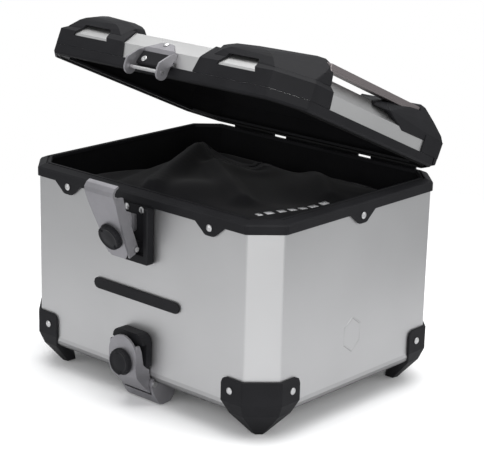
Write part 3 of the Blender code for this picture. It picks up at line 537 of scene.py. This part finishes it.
def keep_in_tub(piece):
    """Pulls back what has swollen through the tub's wall or above the bag's highest line."""
    hx, hy = TUB_HALF[0] - BAG_CLEAR, TUB_HALF[1] - BAG_CLEAR
    corner = TUB_HALF[0] + TUB_HALF[1] - TUB_CUT - BAG_CLEAR * math.sqrt(2.0)
    for vertex in piece.data.vertices:
        co = vertex.co
        co.x = min(max(co.x, -hx), hx)
        co.y = min(max(co.y, -hy), hy)
        over = abs(co.x) + abs(co.y) - corner
        if over > 0.0:
            co.x -= math.copysign(over / 2.0, co.x)
            co.y -= math.copysign(over / 2.0, co.y)
        co.z = min(co.z, BAG_TOP_Z)


def make_bag():
    bm = skin([tub_outline(inwards, z) for inwards, z in BAG_RINGS])
    bag = add_piece("bag_body", bm, None, "bag", 180.0)
    remesh = bag.modifiers.new("remesh", "REMESH")
    remesh.mode = "VOXEL"
    remesh.voxel_size = BAG_VOXEL
    apply_modifier(bag, remesh)
    for vertex in bag.data.vertices:
        co = vertex.co
        soft = min(max((co.z - BAG_SOFT_Z) / 0.03, 0.0), 1.0)
        co.z += soft * fold_height(co.x, co.y)
    inflate(bag, BAG_PRESSURE, BAG_FRAMES, BAG_MOST_SWELL, BAG_HELD_Z)
    keep_in_tub(bag)
    smooth = bag.modifiers.new("smooth", "SUBSURF")
    smooth.levels = smooth.render_levels = 1
    apply_modifier(bag, smooth)
    bag.data.shade_smooth()
    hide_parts("inner_bag")
    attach(bag, "case")
    return bag


LINER_LOW_Z = 0.2000
LINER_TOP_Z = 0.2581
LINER_IN = (0.0044, 0.0054)


def make_liner():
    """Black cloth that covers the tub's bare wall above the bag."""
    outer, inner = LINER_IN
    rings = [
        tub_outline(outer, LINER_LOW_Z),
        tub_outline(outer, LINER_TOP_Z),
        tub_outline(inner, LINER_TOP_Z),
        tub_outline(inner, LINER_LOW_Z),
    ]
    add_piece("bag_liner", skin(rings, True), "case", "lining", 30.0)


class Surface:
    """The bag's top, for laying trim on it."""

    def __init__(self, piece):
        graph = bpy.context.evaluated_depsgraph_get()
        self.tree = BVHTree.FromObject(piece, graph)

    def at(self, x, y, above=0.0):
        place, normal, _, _ = self.tree.ray_cast(Vector((x, y, 0.40)), Vector((0.0, 0.0, -1.0)))
        return place + normal * above, normal


def smooth_path(points, step=0.004):
    """Even points along a curve through the given ones."""
    result = []
    for i in range(len(points) - 1):
        p0 = Vector(points[max(i - 1, 0)])
        p1, p2 = Vector(points[i]), Vector(points[i + 1])
        p3 = Vector(points[min(i + 2, len(points) - 1)])
        count = max(int((p2 - p1).length / step), 2)
        for k in range(count):
            t = k / count
            curve = 2.0 * p1 + (p2 - p0) * t + (2.0 * p0 - 5.0 * p1 + 4.0 * p2 - p3) * t * t
            result.append((curve + (3.0 * p1 - p0 - 3.0 * p2 + p3) * t ** 3) / 2.0)
    result.append(Vector(points[-1]))
    return result


def ribbon(surface, points, profile, closed=False):
    """Strip laid on the surface: profile gives (across, above) pairs, closed round."""
    rings = []
    count = len(points)
    for i, point in enumerate(points):
        ahead = points[(i + 1) % count] if closed else points[min(i + 1, count - 1)]
        behind = points[i - 1] if closed or i else points[0]
        run = (Vector(ahead) - Vector(behind)).normalized()
        side = Vector((-run.y, run.x))
        ring = []
        for across, above in profile:
            spot = Vector((point[0], point[1])) + side * across
            place, _ = surface.at(spot.x, spot.y, above)
            ring.append(place)
        rings.append(ring)
    return skin(rings, closed)


ZIP_PATH = (
    (-0.142, 0.104), (-0.105, 0.094), (-0.070, 0.088), (-0.050, 0.094),
    (-0.048, 0.108), (-0.020, 0.122), (0.040, 0.124), (0.120, 0.118),
)
PRINT_PATH = ((0.111, -0.081), (0.120, -0.042), (0.126, -0.004), (0.131, 0.033))
TAPE = (  # across, above the cloth
    (-0.0095, 0.0001), (0.0095, 0.0001), (0.0093, 0.0009),
    (0.0030, 0.0010), (-0.0030, 0.0010), (-0.0093, 0.0009),
)
COIL_WIDTH = 0.0024
COIL_BEAD = 0.0011
COIL_STEP = 0.0016
PIPING_IN = 0.0260
PIPING_RADIUS = 0.0016
DASH_STEP = 0.0030
DASH_POINTS = 4
DASH_EVERY = 5
DASH_HALF = 0.0042
DASH_THICK = 0.0003


def make_bag_trim(bag):
    surface = Surface(bag)
    track = smooth_path(ZIP_PATH)
    add_piece("bag_zip_tape", ribbon(surface, track, TAPE), "case", "thread", 30.0)
    teeth = smooth_path(ZIP_PATH, COIL_STEP)
    bm = bmesh.new()
    for i, point in enumerate(teeth):
        place, normal = surface.at(point.x, point.y, 0.0014)
        ahead = teeth[min(i + 1, len(teeth) - 1)] - teeth[max(i - 1, 0)]
        run = Vector((ahead.x, ahead.y, 0.0)).normalized()
        side = normal.cross(run).normalized()
        shift = COIL_WIDTH * (0.25 if i % 2 else -0.25)
        made = bmesh.ops.create_icosphere(bm, subdivisions=1, radius=COIL_BEAD)
        for vert in made["verts"]:
            local = vert.co
            spread = side * (local.x * 1.7 + shift) + run * (local.y * 0.62) + normal * (local.z * 0.7)
            vert.co = place + spread
    add_piece("bag_zip_teeth", bm, "case", "plastic", 60.0)

    border = tub_outline(PIPING_IN, 0.0)
    round_path = []
    for i in range(len(border)):
        a, b = Vector(border[i][:2]), Vector(border[(i + 1) % len(border)][:2])
        count = max(int((b - a).length / 0.006), 2)
        round_path += [a.lerp(b, k / count) for k in range(count)]
    circle = []
    for k in range(8):
        angle = 2.0 * math.pi * k / 8
        circle.append((PIPING_RADIUS * math.cos(angle), PIPING_RADIUS * (0.7 + math.sin(angle))))
    piping = ribbon(surface, round_path, circle, True)
    add_piece("bag_piping", piping, "case", "thread", 60.0)

    dash = smooth_path(PRINT_PATH, DASH_STEP)
    count = len(dash)
    bm = bmesh.new()
    for first in range(0, count - DASH_POINTS + 1, DASH_EVERY):
        run = dash[first:first + DASH_POINTS]
        lower, upper = [], []
        for i, point in enumerate(run):
            ahead = (run[min(i + 1, DASH_POINTS - 1)] - run[max(i - 1, 0)]).normalized()
            side = Vector((-ahead.y, ahead.x))
            for row, across in ((lower, -DASH_HALF), (upper, DASH_HALF)):
                spot = point + side * across
                row.append(bm.verts.new(surface.at(spot.x, spot.y, 0.0004)[0]))
        for i in range(DASH_POINTS - 1):
            bm.faces.new((lower[i], lower[i + 1], upper[i + 1], upper[i]))
    mark = add_piece("bag_print", bm, "case", "print", 60.0)
    thick = mark.modifiers.new("thickness", "SOLIDIFY")
    thick.thickness = DASH_THICK
    thick.offset = 0.0


# ---------------------------------------------------------------- mark pressed in the side of the tub
MARK_AT = (-0.0079, 0.1002)
MARK_SIZE = 0.0215
MARK_SHAPE = (0.85, 1.05)
MARK_PROFILE = (  # inwards, proud of the sheet
    (0.0, -0.0002), (0.0008, 0.0003), (0.0018, 0.0005), (0.0028, 0.0003), (0.0036, -0.0002),
)


def make_side_mark():
    """Plain six-sided outline, raised a little from the sheet."""
    bm = bmesh.new()
    rings = []
    for inwards, proud in MARK_PROFILE:
        ring = []
        for k in range(6):
            angle = math.pi / 6.0 + k * math.pi / 3.0
            r = MARK_SIZE - inwards
            y = MARK_AT[0] + r * math.cos(angle) * MARK_SHAPE[0]
            z = MARK_AT[1] + r * math.sin(angle) * MARK_SHAPE[1]
            ring.append(bm.verts.new((TUB_HALF[0] + proud, y, z)))
        rings.append(ring)
    for low, high in zip(rings, rings[1:] + rings[:1]):
        for k in range(6):
            bm.faces.new((low[k], low[(k + 1) % 6], high[(k + 1) % 6], high[k]))
    return add_piece("side_mark", bm, "case", "tub", 60.0)


make_camera()
make_studio()
make_knob("latch_knob_cap", "latch_knob", "latch_lock", 130.0 * DEG)
make_knob("mount_knob_cap", "mount_lock_knob", "mount_lock", 105.0 * DEG)
make_bag_trim(make_bag())
make_liner()
make_side_mark()
finish_nodes()
